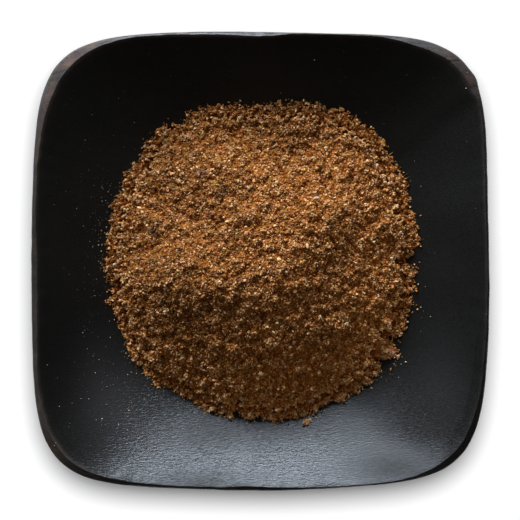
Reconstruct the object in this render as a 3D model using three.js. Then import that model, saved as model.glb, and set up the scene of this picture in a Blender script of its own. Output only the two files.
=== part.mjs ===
// A bowl of garam masala: a shallow rounded-square bowl carved from one piece of
// black-stained wood, with a heap of the coarsely ground spice lying in it.
//
// Millimetres, +Z up. The bowl stands on z = 0, and the origin is under the middle
// of its rim outline. The two pieces share one frame, whose +Y side has the gentle
// slope of the heap and whose -Y side has the steep one.

import * as THREE from "three";

// ---------------------------------------------------------------- the bowl
const RIM_HALF_WIDTH = 63.0; // half the width across flats of the rim, before its waves
const RIM_SQUARENESS = 5.75; // exponent of the rounded square: 2 is a circle
const RIM_CENTRE = [0.036, 0.042]; // brings the middle of the waved outline to the origin
// Hand-shaped irregularity of the outline: [waves per turn, cos part, sin part],
// as shares of the radius.
const RIM_WAVES = [
  [1, -0.0023, 0.002],
  [2, 0.0, 0.0029],
  [3, 0.0016, 0.0006],
  [4, 0.0081, 0.0003],
  [5, -0.0004, -0.0028],
  [6, -0.0009, -0.0023],
];
const BOWL_HEIGHT = 27.5; // floor to the inner edge of the rim
const BASE_THICKNESS = 5.0; // wood under the middle of the hollow
const HOLLOW_ROUNDING = 0.8; // share of the half width over which the bottom rounds out
const HOLLOW_ROUND_PLAN = 2.0; // squareness of the hollow near its bottom: a circle
const SQUARENESS_STARTS = 0.3; // share of the half width where corners begin to form
const RIM_WIDTH_SIDE = 1.15; // sloping face on top of the rim, seen from above
const RIM_WIDTH_CORNER = 3.0;
const RIM_CORNER_REACH = 2.2; // how tightly the wide part keeps to the corners
const RIM_FALL = 0.55; // how far that face falls outwards, per mm of its width
const EDGE_BAND = 4.4; // height of the upright outer edge under that face
const EDGE_TUCK = 0.3; // the foot of the band lies this far inside its top
const FOOT_HALF_WIDTH = 36.0;
const FOOT_SQUARENESS = 3.2;
const FOOT_ARRIS = 0.8; // chamfer round the foot
// The outside between foot and edge band: [share of the way out, height].
const FLARE = [
  [0.05, 2.6],
  [0.17, 6.5],
  [0.36, 11.0],
  [0.58, 15.3],
  [0.79, 18.9],
  [0.94, 21.3],
  [0.987, 22.3],
];
// Shares of the way out at which the hollow is measured.
const HOLLOW_STEPS = [0.965, 0.92, 0.86, 0.79, 0.71, 0.62, 0.53, 0.44, 0.35, 0.26, 0.17, 0.085, 0];
const BOWL_TURN_STEPS = 96;

// ---------------------------------------------------------------- the heap
const HEAP_RADIUS = 44.47; // where it meets the wood, before its waves
// Waves of its edge: [waves per turn, cos part, sin part], mm.
const HEAP_WAVES = [
  [1, 0.51, 0.74],
  [2, -0.59, 0.4],
  [3, -0.4, 0.35],
  [4, -1.08, 0.12],
  [5, -0.11, -0.33],
  [6, 0.03, -0.1],
  [7, -0.11, 0.25],
  [8, 0.03, -0.11],
  [9, -0.21, -0.05],
  [10, 0.04, -0.02],
  [11, -0.21, -0.07],
  [12, -0.25, 0.05],
];
const HEAP_TOP = 34.5; // floor to the crest, before its ridges
const CREST = [-3.0, -5.0]; // the crest lies off the middle
const CREST_ROUNDING = 0.45; // share of the radius over which the top rounds
const HEAP_EDGE_THICKNESS = 0.7; // one or two grains deep where it thins out
const EDGE_FADE = 0.12; // share of the radius over which the ridges die out
const GAP = 0.3; // between the powder and the wood
const HEAP_TURN_STEPS = 84;
const HEAP_RINGS = 20;
const HEAP_UNDER_STEPS = [0, 0.14, 0.3, 0.46, 0.62, 0.78, 0.92, 1];
// Ridges and hollows left by pouring and spooning:
// [x, y, height, half length, half width, turn], mm and radians.
const RIDGES = [
  [16.6, 40.7, -0.92, 12.7, 3.2, 1.01],
  [-2.0, 35.7, -1.29, 5.8, 3.5, 0.41],
  [-12.7, 35.4, -2.16, 9.3, 4.1, 0.41],
  [8.9, 30.9, -1.28, 13.0, 3.1, 0.1],
  [-10.9, 27.7, 0.96, 5.3, 2.5, 0.3],
  [11.4, 26.4, -1.87, 13.0, 9.0, -0.31],
  [-35.6, 20.8, 1.41, 6.1, 3.3, 0.83],
  [37.0, 15.7, -1.38, 10.2, 3.4, 0.66],
  [-9.3, 15.7, -0.67, 5.7, 2.8, 1.11],
  [-21.8, 14.7, -1.91, 13.0, 4.7, -0.59],
  [19.0, 13.5, 1.79, 6.7, 3.5, 0.06],
  [1.3, 10.7, -0.54, 4.5, 2.2, 0.26],
  [-35.4, 8.8, -1.27, 4.1, 7.2, 0.15],
  [35.0, 3.9, -1.65, 4.6, 3.1, -0.5],
  [12.3, 3.1, 1.45, 3.6, 9.0, -0.8],
  [-34.9, 2.0, -1.56, 13.0, 3.1, 0.45],
  [5.2, 1.2, -0.62, 8.3, 2.5, -0.15],
  [-24.9, -6.4, 1.17, 8.2, 5.3, 0.26],
  [-17.0, -8.7, 1.0, 8.9, 2.7, 0.4],
  [-6.1, -10.4, 0.43, 13.0, 2.5, -0.25],
  [13.7, -12.0, -0.6, 10.6, 2.6, 0.36],
  [38.6, -13.5, -1.09, 9.8, 5.0, -0.78],
  [-27.3, -23.0, -1.07, 6.4, 4.5, 0.65],
  [25.5, -29.3, -1.15, 3.2, 4.8, -0.34],
  [15.9, -29.5, 0.58, 4.0, 2.7, 0.29],
  [-1.4, -33.9, -0.42, 13.0, 4.7, 0.24],
];

const clamp = (v, a, b) => Math.min(b, Math.max(a, v));
const waves = (list, t) =>
  list.reduce((sum, [k, a, b]) => sum + a * Math.cos(k * t) + b * Math.sin(k * t), 0);

// Falls from 1 at 0 to 0 at 1, rounded over share c at the start and straight after it.
const roundedSlope = (q, c) => 1 - (Math.hypot(q, c) - c) / (Math.hypot(1, c) - c);

// Radius of a rounded square of half width 1.
function roundedSquare(t, squareness) {
  const c = Math.abs(Math.cos(t)) ** squareness,
    s = Math.abs(Math.sin(t)) ** squareness;
  return (c + s) ** (-1 / squareness);
}

// Plan radius of the bowl at share s of its half width: round inside, squarer to the rim.
function planRadius(t, s) {
  const square = clamp((s - SQUARENESS_STARTS) / (1 - SQUARENESS_STARTS), 0, 1),
    n = HOLLOW_ROUND_PLAN + (RIM_SQUARENESS - HOLLOW_ROUND_PLAN) * square;
  return s * RIM_HALF_WIDTH * roundedSquare(t, n) * (1 + square * waves(RIM_WAVES, t));
}

// Width of the rim's sloping face: narrow along the sides, wide round the corners.
const rimWidth = (t) =>
  RIM_WIDTH_SIDE +
  (RIM_WIDTH_CORNER - RIM_WIDTH_SIDE) * (Math.sin(2 * t) ** 2) ** RIM_CORNER_REACH;

// The hollow at share s of the way out to the rim's inner edge.
const hollowHeight = (s) =>
  BOWL_HEIGHT - (BOWL_HEIGHT - BASE_THICKNESS) * roundedSlope(s, HOLLOW_ROUNDING);
const hollowRadius = (t, s) => planRadius(t, s) - rimWidth(t) * s ** 3;

// Height of the hollow at a point, by closing in on its share s.
function hollowHeightAt(x, y) {
  const t = Math.atan2(y, x),
    r = Math.hypot(x, y);
  let s = r / RIM_HALF_WIDTH;
  for (let i = 0; i < 12; i++) s = s > 1e-6 ? (s * r) / hollowRadius(t, s) : 0;
  return hollowHeight(clamp(s, 0, 1));
}

// A solid of revolution whose stations are moved out to the real section:
// place(station, angle) gives [x, y, z] before the shift to the origin.
function shapedLathe(stations, steps, place) {
  const last = stations.length - 1,
    profile = stations.map((st, i) => new THREE.Vector2(i === 0 || i === last ? 0 : 1, i)),
    geometry = new THREE.LatheGeometry(profile, steps),
    position = geometry.getAttribute("position");
  for (let i = 0; i < position.count; i++) {
    const turn = Math.floor(i / stations.length) % steps,
      [x, y, z] = place(stations[i % stations.length], (2 * Math.PI * turn) / steps);
    position.setXYZ(i, x + RIM_CENTRE[0], y + RIM_CENTRE[1], z);
  }
  geometry.computeVertexNormals();
  return geometry;
}

const polar = (r, t, z) => [r * Math.cos(t), r * Math.sin(t), z];

// The bowl, from under its middle, up its outside, over the rim and down the hollow.
function bowlGeometry() {
  const foot = (t) => FOOT_HALF_WIDTH * roundedSquare(t, FOOT_SQUARENESS),
    rim = (t) => planRadius(t, 1),
    stations = [
      ...[0, 0.5, 1].map((s) => (t) => polar(s * (foot(t) - FOOT_ARRIS), t, 0)),
      (t) => polar(foot(t), t, FOOT_ARRIS),
      ...FLARE.map(
        ([u, z]) =>
          (t) =>
            polar(foot(t) + u * (rim(t) - foot(t)), t, z),
      ),
      (t) => polar(rim(t) - EDGE_TUCK, t, BOWL_HEIGHT - EDGE_BAND),
      (t) => polar(rim(t) - 0.05, t, BOWL_HEIGHT - EDGE_BAND * 0.6),
      (t) => polar(rim(t), t, BOWL_HEIGHT - rimWidth(t) * RIM_FALL),
      (t) => polar(rim(t) - rimWidth(t), t, BOWL_HEIGHT),
      ...HOLLOW_STEPS.map((s) => (t) => polar(hollowRadius(t, s), t, hollowHeight(s))),
    ];
  return shapedLathe(stations, BOWL_TURN_STEPS, (station, t) => station(t));
}

// Ridges and hollows at a point of the heap.
function ridgesAt(x, y) {
  return RIDGES.reduce((sum, [cx, cy, height, length, width, turn]) => {
    const u = ((x - cx) * Math.cos(turn) + (y - cy) * Math.sin(turn)) / length,
      v = (-(x - cx) * Math.sin(turn) + (y - cy) * Math.cos(turn)) / width;
    return sum + height * Math.exp(-0.5 * (u * u + v * v));
  }, 0);
}

// The heap, from under its middle, out along the wood, and back over its top to the crest.
function heapGeometry() {
  const woodAt = (x, y) => hollowHeightAt(x, y) + GAP,
    edge = (t) => {
      const r = HEAP_RADIUS + waves(HEAP_WAVES, t);
      return [r * Math.cos(t), r * Math.sin(t)];
    },
    // share q of the way from the crest to the edge in direction t
    along = (t, q) => edge(t).map((e, i) => CREST[i] + (e - CREST[i]) * q),
    top = (t, q) => {
      const low = woodAt(...edge(t)) + HEAP_EDGE_THICKNESS,
        [x, y] = along(t, q),
        fade = clamp((1 - q) / EDGE_FADE, 0, 1);
      return low + (HEAP_TOP - low) * roundedSlope(q, CREST_ROUNDING) + ridgesAt(x, y) * fade;
    },
    stations = HEAP_UNDER_STEPS.map((q) => (t) => [...along(t, q), woodAt(...along(t, q))]);
  for (let i = HEAP_RINGS; i >= 0; i--) {
    const q = i / HEAP_RINGS;
    stations.push((t) => [...along(t, q), top(q === 0 ? 0 : t, q)]);
  }
  return shapedLathe(stations, HEAP_TURN_STEPS, (station, t) => station(t));
}

const bowl = new THREE.Mesh(
  bowlGeometry(),
  new THREE.MeshStandardMaterial({ color: 0x16130f, roughness: 0.42, metalness: 0 }),
);
bowl.name = "bowl";

const heap = new THREE.Mesh(
  heapGeometry(),
  new THREE.MeshStandardMaterial({ color: 0x7d5230, roughness: 0.95, metalness: 0 }),
);
heap.name = "garam_masala";

const group = new THREE.Group();
group.add(bowl, heap);

export default group;
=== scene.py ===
# A bowl of garam masala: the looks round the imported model.
#
# Lengths are worked out in millimetres and written to the meshes in metres, in the
# model's own frame. The bowl and the heap repeat the model's formulas, finer and with
# the unevenness that a faceted solid leaves out.

import math

import bpy
import numpy as np
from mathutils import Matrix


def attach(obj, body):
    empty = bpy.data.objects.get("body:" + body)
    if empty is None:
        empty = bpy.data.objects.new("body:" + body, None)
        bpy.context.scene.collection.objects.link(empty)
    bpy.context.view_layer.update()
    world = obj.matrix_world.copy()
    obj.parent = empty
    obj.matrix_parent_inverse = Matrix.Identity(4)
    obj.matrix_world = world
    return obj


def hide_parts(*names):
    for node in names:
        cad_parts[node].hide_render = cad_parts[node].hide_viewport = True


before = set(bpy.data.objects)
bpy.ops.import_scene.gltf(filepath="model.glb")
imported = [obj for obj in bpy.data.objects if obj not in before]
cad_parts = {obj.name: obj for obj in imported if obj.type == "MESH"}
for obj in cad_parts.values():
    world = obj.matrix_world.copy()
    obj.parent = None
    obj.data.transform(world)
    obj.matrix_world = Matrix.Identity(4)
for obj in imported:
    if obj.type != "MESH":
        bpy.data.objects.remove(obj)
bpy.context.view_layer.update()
scene = bpy.context.scene
MM = 0.001

# ------------------------------------------------------------------ camera
RIM_PLANE = 27.5  # height of the rim's inner edge
CAMERA_ABOVE_RIM = 1000.0
FIELD_OF_VIEW = 143.95  # width seen at the rim plane

lens = bpy.data.cameras.new("camera")
lens.sensor_width = 36.0
lens.lens = 36.0 * CAMERA_ABOVE_RIM / FIELD_OF_VIEW
lens.clip_start, lens.clip_end = 0.05, 20.0
camera = bpy.data.objects.new("camera", lens)
camera.location = (-0.103 * MM, 0.319 * MM, (RIM_PLANE + CAMERA_ABOVE_RIM) * MM)
scene.collection.objects.link(camera)
scene.camera = camera


# ------------------------------------------------------------------ helpers
def clamp(v, a=0.0, b=1.0):
    return np.minimum(b, np.maximum(a, v))


def smoothstep(v, a, b):
    t = clamp((v - a) / (b - a))
    return t * t * (3 - 2 * t)


def mesh_piece(name, places, faces, smooth=False, values=None, colours=None):
    """A mesh object from arrays: places in mm, faces as rows of vertex numbers."""
    mesh = bpy.data.meshes.new(name)
    count, corners = faces.shape
    mesh.vertices.add(len(places))
    mesh.vertices.foreach_set("co", (places * MM).astype(np.float32).ravel())
    mesh.loops.add(count * corners)
    mesh.loops.foreach_set("vertex_index", faces.astype(np.int32).ravel())
    mesh.polygons.add(count)
    mesh.polygons.foreach_set("loop_start", np.arange(0, count * corners, corners, dtype=np.int32))
    mesh.polygons.foreach_set("use_smooth", np.full(count, smooth))
    mesh.update(calc_edges=True)
    for key, array in (values or {}).items():
        layer = mesh.attributes.new(key, "FLOAT", "POINT")
        layer.data.foreach_set("value", array.astype(np.float32).ravel())
    for key, array in (colours or {}).items():
        layer = mesh.attributes.new(key, "FLOAT_COLOR", "POINT")
        rgba = np.ones((len(places), 4), np.float32)
        rgba[:, :3] = array
        layer.data.foreach_set("color", rgba.ravel())
    piece = bpy.data.objects.new(name, mesh)
    scene.collection.objects.link(piece)
    return piece


def wavy(t, rng, waves, size):
    """Unevenness round the turn: random waves from waves[0] to waves[1] per turn, with rms size."""
    out = np.zeros_like(t)
    for k in range(waves[0], waves[1] + 1):
        out += rng.normal() * np.cos(k * t + rng.uniform(0, 2 * np.pi)) * (waves[0] / k) ** 0.5
    return out * size / max(out.std(), 1e-9)


def band_noise(rng, shape, step, wave, spread=0.45):
    """A random surface on a grid whose bumps are about wave across (mm), with rms 1."""
    spectrum = np.fft.rfft2(rng.normal(size=shape))
    fy = np.fft.fftfreq(shape[0], step)[:, None]
    fx = np.fft.rfftfreq(shape[1], step)[None, :]
    f = np.hypot(fx, fy)
    f[0, 0] = 1e-9
    out = np.fft.irfft2(spectrum * np.exp(-0.5 * (np.log(f * wave) / spread) ** 2) / f, shape)
    return (out - out.mean()) / out.std()


# ------------------------------------------------------------------ the bowl's form
RIM_HALF_WIDTH = 63.0
RIM_SQUARENESS = 5.75
RIM_CENTRE = np.array([0.036, 0.042])
RIM_WAVES = [
    (1, -0.0023, 0.002),
    (2, 0.0, 0.0029),
    (3, 0.0016, 0.0006),
    (4, 0.0081, 0.0003),
    (5, -0.0004, -0.0028),
    (6, -0.0009, -0.0023),
]
BOWL_HEIGHT = 27.5
BASE_THICKNESS = 5.0
HOLLOW_ROUNDING = 0.8
RIM_FALL = 0.55
EDGE_BAND = 4.4
EDGE_TUCK = 0.3
FOOT_HALF_WIDTH = 36.0
FOOT_SQUARENESS = 3.2
FOOT_ARRIS = 0.8
FLARE = [
    (0.0, 0.8),
    (0.05, 2.6),
    (0.17, 6.5),
    (0.36, 11.0),
    (0.58, 15.3),
    (0.79, 18.9),
    (0.94, 21.3),
    (0.987, 22.3),
]
# Width in mm of the sloping face on top of the rim, by turn angle in degrees: hand
# cut, so wide round the corners, uneven along the sides and all but gone in one place.
RIM_WIDTHS = [
    (-180, 1.6),
    (-165, 1.6),
    (-152, 1.25),
    (-146, 1.7),
    (-137, 2.3),
    (-128, 1.85),
    (-118, 1.05),
    (-108, 0.75),
    (-100, 0.9),
    (-93, 1.25),
    (-84, 0.85),
    (-75, 0.5),
    (-64, 0.42),
    (-56, 0.72),
    (-47, 2.1),
    (-38, 2.0),
    (-30, 1.2),
    (-15, 0.75),
    (0, 0.6),
    (15, 0.8),
    (27, 0.9),
    (37, 1.0),
    (38.6, 2.3),
    (41, 2.6),
    (47, 2.45),
    (52, 2.5),
    (55, 2.1),
    (58.5, 1.1),
    (62, 0.6),
    (67, 0.38),
    (72, 0.32),
    (82, 0.34),
    (86, 1.0),
    (92, 1.25),
    (100, 0.85),
    (113, 0.6),
    (119, 0.7),
    (122, 0.95),
    (125.5, 1.5),
    (129, 2.2),
    (135, 3.2),
    (139, 3.2),
    (143, 2.8),
    (150, 1.7),
    (157, 1.15),
    (168, 1.0),
    (175, 1.3),
]


def periodic(pairs, t, blur=1.2):
    """Values by turn angle, eased over blur degrees."""
    grid = np.arange(-180, 180, 0.25)
    a, v = np.array(pairs, float).T
    table = np.interp(grid, np.r_[a - 360, a, a + 360], np.r_[v, v, v])
    reach = np.arange(-16, 17)
    weight = np.exp(-0.5 * (reach * 0.25 / blur) ** 2)
    eased = sum(w * np.roll(table, k) for k, w in zip(reach, weight)) / weight.sum()
    return np.interp((np.degrees(t) + 180) % 360 - 180, np.r_[grid, 180], np.r_[eased, eased[0]])


def waves(table, t):
    return sum(a * np.cos(k * t) + b * np.sin(k * t) for k, a, b in table)


def rounded_slope(q, c):
    return 1 - (np.hypot(q, c) - c) / (math.hypot(1, c) - c)


def rounded_square(t, n):
    return (np.abs(np.cos(t)) ** n + np.abs(np.sin(t)) ** n) ** (-1 / n)


def plan_radius(t, s):
    square = clamp((s - 0.3) / 0.7)
    n = 2 + (RIM_SQUARENESS - 2) * square
    return s * RIM_HALF_WIDTH * rounded_square(t, n) * (1 + square * waves(RIM_WAVES, t))


def rim_width(t):
    return periodic(RIM_WIDTHS, t)


def hollow_height(s):
    return BOWL_HEIGHT - (BOWL_HEIGHT - BASE_THICKNESS) * rounded_slope(s, HOLLOW_ROUNDING)


def hollow_radius(t, s):
    return plan_radius(t, s) - rim_width(t) * s**3


def share_at(x, y):
    """How far out a point lies in the hollow: 0 in the middle, 1 at the rim's inner edge."""
    x, y = x - RIM_CENTRE[0], y - RIM_CENTRE[1]
    t, r = np.arctan2(y, x), np.hypot(x, y)
    s = r / RIM_HALF_WIDTH
    for _ in range(12):
        s = np.where(s > 1e-6, s * r / np.maximum(hollow_radius(t, np.maximum(s, 1e-6)), 1e-9), 0)
    return s


def wood_at(x, y):
    return hollow_height(clamp(share_at(x, y)))


def bowl_piece():
    rng = np.random.default_rng(7)
    steps = 720
    # closer steps round the corners, where the rim is hand cut and rubbed
    turn = np.linspace(-180, 180, 2881)
    close = 1 + 1.7 * ((turn > 118) & (turn < 160)) + 1.7 * ((turn > 34) & (turn < 60))
    close = close + 0.8 * ((turn > -152) & (turn < -128))
    along = np.r_[0, np.cumsum((close[1:] + close[:-1]) / 2)]
    t = np.radians(np.interp(np.arange(steps) / steps * along[-1], along, turn))
    one = np.ones(steps)
    foot = FOOT_HALF_WIDTH * rounded_square(t, FOOT_SQUARENESS)
    rim = plan_radius(t, 1) + wavy(t, rng, (18, 70), 0.02)
    # a corner that the knife left where the wide face ends
    rim = rim + 0.5 * np.exp(-(((np.degrees(t) - 40.3) / 1.7) ** 2))
    width = np.maximum(rim_width(t) + wavy(t, rng, (24, 110), 0.035), 0.22)
    top = BOWL_HEIGHT + wavy(t, rng, (9, 60), 0.03)
    rings, worn, edge, across = [], [], [], []

    def ring(r, z, wear=0.0, near_edge=0.0, inward=-9.0):
        rings.append((r * one, z * one))
        worn.append(wear * one)
        edge.append(near_edge * one)
        across.append(inward * one)

    # the foot and the flared outside
    for s in (0, 0.3, 0.6, 0.85, 1):
        ring(s * (foot - FOOT_ARRIS), 0)
    ring(foot - 0.25 * FOOT_ARRIS, 0.25 * FOOT_ARRIS)
    shares = np.array(FLARE).T
    slopes = np.gradient(shares[1], shares[0])
    for u in np.r_[np.linspace(0, 0.94, 24), 0.965, 0.987]:
        i = min(np.searchsorted(shares[0], u, side="right") - 1, len(FLARE) - 2)
        wide = shares[0][i + 1] - shares[0][i]
        v = (u - shares[0][i]) / wide
        z = (
            (2 * v**3 - 3 * v**2 + 1) * shares[1][i]
            + (v**3 - 2 * v**2 + v) * wide * slopes[i]
            + (3 * v**2 - 2 * v**3) * shares[1][i + 1]
            + (v**3 - v**2) * wide * slopes[i + 1]
        )
        ring(foot + u * (rim - foot), z)
    # the upright band, the rim's face and their rounded arrises
    low = (rim - EDGE_TUCK, top - EDGE_BAND)
    mid = (rim - 0.05, top - EDGE_BAND * 0.6)
    outer = (rim, top - width * RIM_FALL)
    inner = (rim - width, top)
    first = (hollow_radius(t, 0.985) - (width - rim_width(t)), hollow_height(0.985) * one)
    ring(low[0] - 0.02, low[1] - 0.25)
    ring(*low)
    for k in (0.35, 0.7):
        ring(low[0] + k * (mid[0] - low[0]), low[1] + k * (mid[1] - low[1]), 0.05)
    ring(*mid, 0.1)

    def arris(before, at, after, size, wear, near_edge, inward):
        """Rounds the arris at a point of the section: size is how far back it starts, in mm."""
        at = np.array(at)
        out = []
        for side in (before, after):
            way = np.array(side) - at
            far = np.hypot(*way)
            out.append(at + way * np.minimum(size / far, 0.45))
        for v in (0, 0.25, 0.5, 0.75, 1):
            r, z = (1 - v) ** 2 * out[0] + 2 * v * (1 - v) * at + v**2 * out[1]
            ring(r, z, wear, near_edge, inward)

    arris(mid, outer, inner, 0.32, 0.9, 1.0, 0.05)
    for k in (0.25, 0.4, 0.55, 0.7, 0.83):
        # the knife left long shallow facets along the face
        cut = wavy(t, rng, (40, 150), 0.022 if k < 0.8 else 0.01)
        ring(outer[0] + k * (inner[0] - outer[0]), outer[1] + k * (inner[1] - outer[1]) + cut, 1.0, 0, k)
    arris(outer, inner, first, 0.1, 0.8, 0.6, 0.95)
    # the hollow
    for s in np.r_[np.linspace(0.985, 0.62, 46), np.linspace(0.6, 0.06, 14)]:
        r = hollow_radius(t, s) - (width - rim_width(t)) * clamp((s - 0.9) / 0.085)
        ring(r, hollow_height(s), 0.1 * smoothstep(s, 0.955, 0.99), 0, 1.2 if s > 0.98 else 9.0)
    ring(0, hollow_height(0))

    r = np.array([a for a, _ in rings])
    z = np.array([b for _, b in rings])
    x, y = r * np.cos(t) + RIM_CENTRE[0], r * np.sin(t) + RIM_CENTRE[1]
    # faint tool unevenness of the hollow and the outside
    tool = (
        np.sin(x / 4.1 + 1.3 * np.sin(y / 7.3)) * np.sin(y / 5.2 + 0.7 * np.sin(x / 6.1 + 2))
    ) * 0.012
    z = z + tool * smoothstep(r, 12, 30) * (z > 1)
    # patches of other colour on the face, and cracks across it
    degrees = (np.degrees(t) + 180) % 360 - 180
    # paler grey where spice dust lies, which also stands in for sheen beside the heap: painted sheen
    dust_and_sheen = np.zeros_like(x)
    for dust_sheen_x, dust_sheen_y, wide, tall, amount in DUST_AND_SHEEN_FILM:
        dust_and_sheen += amount * np.exp(-0.5 * (((x - dust_sheen_x) / wide) ** 2 + ((y - dust_sheen_y) / tall) ** 2))
    dust_and_sheen = dust_and_sheen * (np.array(worn) == 0) * (z > 5)
    dull = np.zeros_like(x)
    for dull_x, dull_y, wide, tall, amount in DULL_PARTS:
        dull += amount * np.exp(-0.5 * (((x - dull_x) / wide) ** 2 + ((y - dull_y) / tall) ** 2))
    coarse = 0.35 + 0.65 * smoothstep(-x, -30, -14) + 0.4 * smoothstep(-x, 0, 16) - 0.9 * smoothstep(-x, 28, 46)
    coarse = (coarse - 0.2 * np.exp(-0.5 * ((x - 9) / 12) ** 2)) * (0.3 + 0.7 * smoothstep(-y, 20, 40))
    coarse = np.where(np.array(worn) > 0.6, 0.75, coarse)
    inward = np.array(across)
    tint = np.ones(inward.shape + (3,))
    for angle, place, half_turn, half_face, factor in RIM_PATCHES:
        near = np.exp(-(((degrees - angle) / half_turn) ** 2) - ((inward - place) / half_face) ** 2)
        tint *= np.exp(near[..., None] * np.log(np.array(factor)))
    for angle, slant, deep, dark in RIM_CRACKS:
        off = (degrees - angle - slant * (inward - 0.5)) / 0.24
        near = np.exp(-(off**2)) * (inward > 0.15) * (inward < 1.0)
        tint *= np.exp(near[..., None] * math.log(1 - dark))
        z = z - deep * near
    count = len(rings)
    places = np.stack([x, y, z], -1)
    # the first and the last ring are single points
    body = places[1:-1].reshape(-1, 3)
    places = np.vstack([places[0, 0], body, places[-1, 0]])

    def flat(rows):
        rows = np.array(rows)
        return np.r_[rows[0, 0], rows[1:-1].ravel(), rows[-1, 0]]

    n = count - 2
    i, j = np.meshgrid(np.arange(n - 1), np.arange(steps), indexing="ij")
    k = (j + 1) % steps
    quads = np.stack([1 + i * steps + j, 1 + i * steps + k, 1 + (i + 1) * steps + k, 1 + (i + 1) * steps + j], -1).reshape(-1, 4)
    a = np.arange(steps)
    b = (a + 1) % steps
    last = 1 + (n - 1) * steps
    caps = np.vstack(
        [
            np.stack([np.zeros(steps, int), 1 + b, 1 + a], -1),
            np.stack([np.full(steps, len(places) - 1), last + a, last + b], -1),
        ]
    )
    triangles = np.vstack([quads[:, [0, 1, 2]], quads[:, [0, 2, 3]], caps])
    amount = periodic(RIM_WEAR, t, 1.0)
    matt = periodic(RIM_MATT, t, 1.5)
    # wear on the inner arris, raised along the top into a painted highlight
    edge_wear_and_highlight = np.where(np.array(edge) == 0.6, periodic(RIM_EDGE_WEAR_AND_HIGHLIGHT, t, 1.0), 1.0)
    return mesh_piece(
        "bowl_wood",
        places,
        triangles,
        smooth=True,
        values={
            "worn": flat(np.array(worn) * amount),
            "arris": flat(np.array(edge) * edge_wear_and_highlight * amount),
            "matt": flat(np.array(worn) * matt),
            "dust_and_sheen": flat(dust_and_sheen),
            "dull": flat(dull),
            "coarse": flat(coarse),
        },
        colours={"tint": np.vstack([tint[0, 0], tint[1:-1].reshape(-1, 3), tint[-1, 0]])},
    )


# Where a thin layer of spice dust lies on the hollow and pales it, also standing in for the sheen beside the heap's
# lower sides as painted sheen: x, y, half widths (mm) and amount.
DUST_AND_SHEEN_FILM = [
    (-40.0, -40.0, 7.0, 8.0, 0.55),
    (-46.0, -30.0, 4.0, 9.0, 0.2),
    (50.0, -36.0, 6.0, 10.0, 0.35),
    (30.0, -46.0, 12.0, 5.0, 0.12),
]
# Where the hollow is duller than elsewhere (or, below 0, glossier), in the same terms.
DULL_PARTS = [
    (-17.0, -61.4, 8.0, 2.6, 0.19),
    (-17.0, -56.0, 8.0, 3.0, -0.05),
    (-17.0, -49.0, 7.0, 3.5, 0.10),
    (-41.0, -54.0, 7.0, 5.0, -0.05),
    (38.0, -57.5, 9.0, 4.0, 0.29),
    (45.0, -47.0, 8.0, 7.0, -0.09),
    (6.0, -47.0, 18.0, 3.0, 0.09),
    (9.0, -54.5, 11.0, 5.0, -0.08),
]
# How much stain is rubbed off the rim, by turn angle in degrees.
RIM_WEAR = [
    (-180, 0.45),
    (-160, 0.5),
    (-148, 0.75),
    (-136, 0.7),
    (-124, 0.3),
    (-110, 0.12),
    (-90, 0.1),
    (-50, 0.1),
    (-30, 0.12),
    (-5, 0.3),
    (20, 0.3),
    (36, 0.3),
    (38.5, 0.8),
    (50, 0.9),
    (60, 0.7),
    (72, 0.5),
    (90, 0.6),
    (112, 0.7),
    (124, 0.95),
    (140, 1.0),
    (155, 0.7),
    (168, 0.5),
]

# Where the rubbed wood has also lost its gloss, in the same terms.
RIM_MATT = [
    (-180, 0.15),
    (-140, 0.25),
    (-125, 0.0),
    (20, 0.0),
    (36, 0.3),
    (43, 0.5),
    (48, 0.2),
    (56, 0.1),
    (60, 0.0),
    (116, 0.0),
    (122, 0.3),
    (127, 0.8),
    (135, 1.0),
    (160, 0.9),
    (170, 0.3),
]
# How pale the rim's worn inner edge is, in the same terms: the high values along the top are a painted highlight.
RIM_EDGE_WEAR_AND_HIGHLIGHT = [
    (-180, 0.2),
    (-150, 0.5),
    (-120, 1.0),
    (20, 1.0),
    (36, 0.0),
    (56, 0.0),
    (62, 0.8),
    (84, 1.0),
    (90, 2.0),
    (97, 5.0),
    (110, 5.0),
    (114, 2.0),
    (119, 0.0),
    (170, 0.0),
]
# Patches on the rim's face: turn angle, place across it (0 outside, 1 inside), half width
# in degrees and across, and what the patch does to the rubbed colour.
RIM_PATCHES = [
    (134.4, 0.60, 1.5, 0.40, (1.75, 1.5, 1.15)),
    (131.6, 0.65, 1.0, 0.45, (0.85, 0.55, 0.55)),
    (129.0, 0.40, 1.6, 0.45, (1.25, 1.2, 1.1)),
    (139.6, 0.60, 1.8, 0.35, (1.0, 1.0, 0.75)),
    (150.0, 0.05, 13.0, 0.32, (0.5, 0.56, 0.66)),
    (137.3, 1.00, 2.2, 0.40, (0.4, 0.4, 0.4)),
    (144.0, 0.95, 4.0, 0.30, (0.6, 0.55, 0.55)),
    (150.0, 0.75, 9.0, 0.45, (0.8, 0.66, 0.6)),
    (168.0, 0.75, 9.0, 0.45, (0.95, 0.78, 0.7)),
    (126.0, 0.90, 4.0, 0.35, (0.55, 0.5, 0.5)),
    (47.0, 0.80, 1.1, 0.35, (1.6, 1.35, 1.0)),
    (42.5, 0.55, 3.0, 0.90, (0.9, 0.68, 0.66)),
    (44.4, 0.90, 1.3, 0.40, (0.4, 0.4, 0.42)),
    (52.5, 0.95, 5.0, 0.30, (0.7, 0.7, 0.7)),
    (-141.0, 0.70, 3.0, 0.50, (1.2, 1.0, 0.8)),
]
# Cracks across it: turn angle, slant in degrees, depth in mm and how dark they are.
RIM_CRACKS = [
    (137.1, -2.8, 0.10, 0.85),
    (139.0, -1.5, 0.03, 0.35),
    (45.6, 1.7, 0.08, 0.9),
    (46.9, 1.4, 0.03, 0.4),
    (39.1, 0.9, 0.06, 0.6),
]

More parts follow.
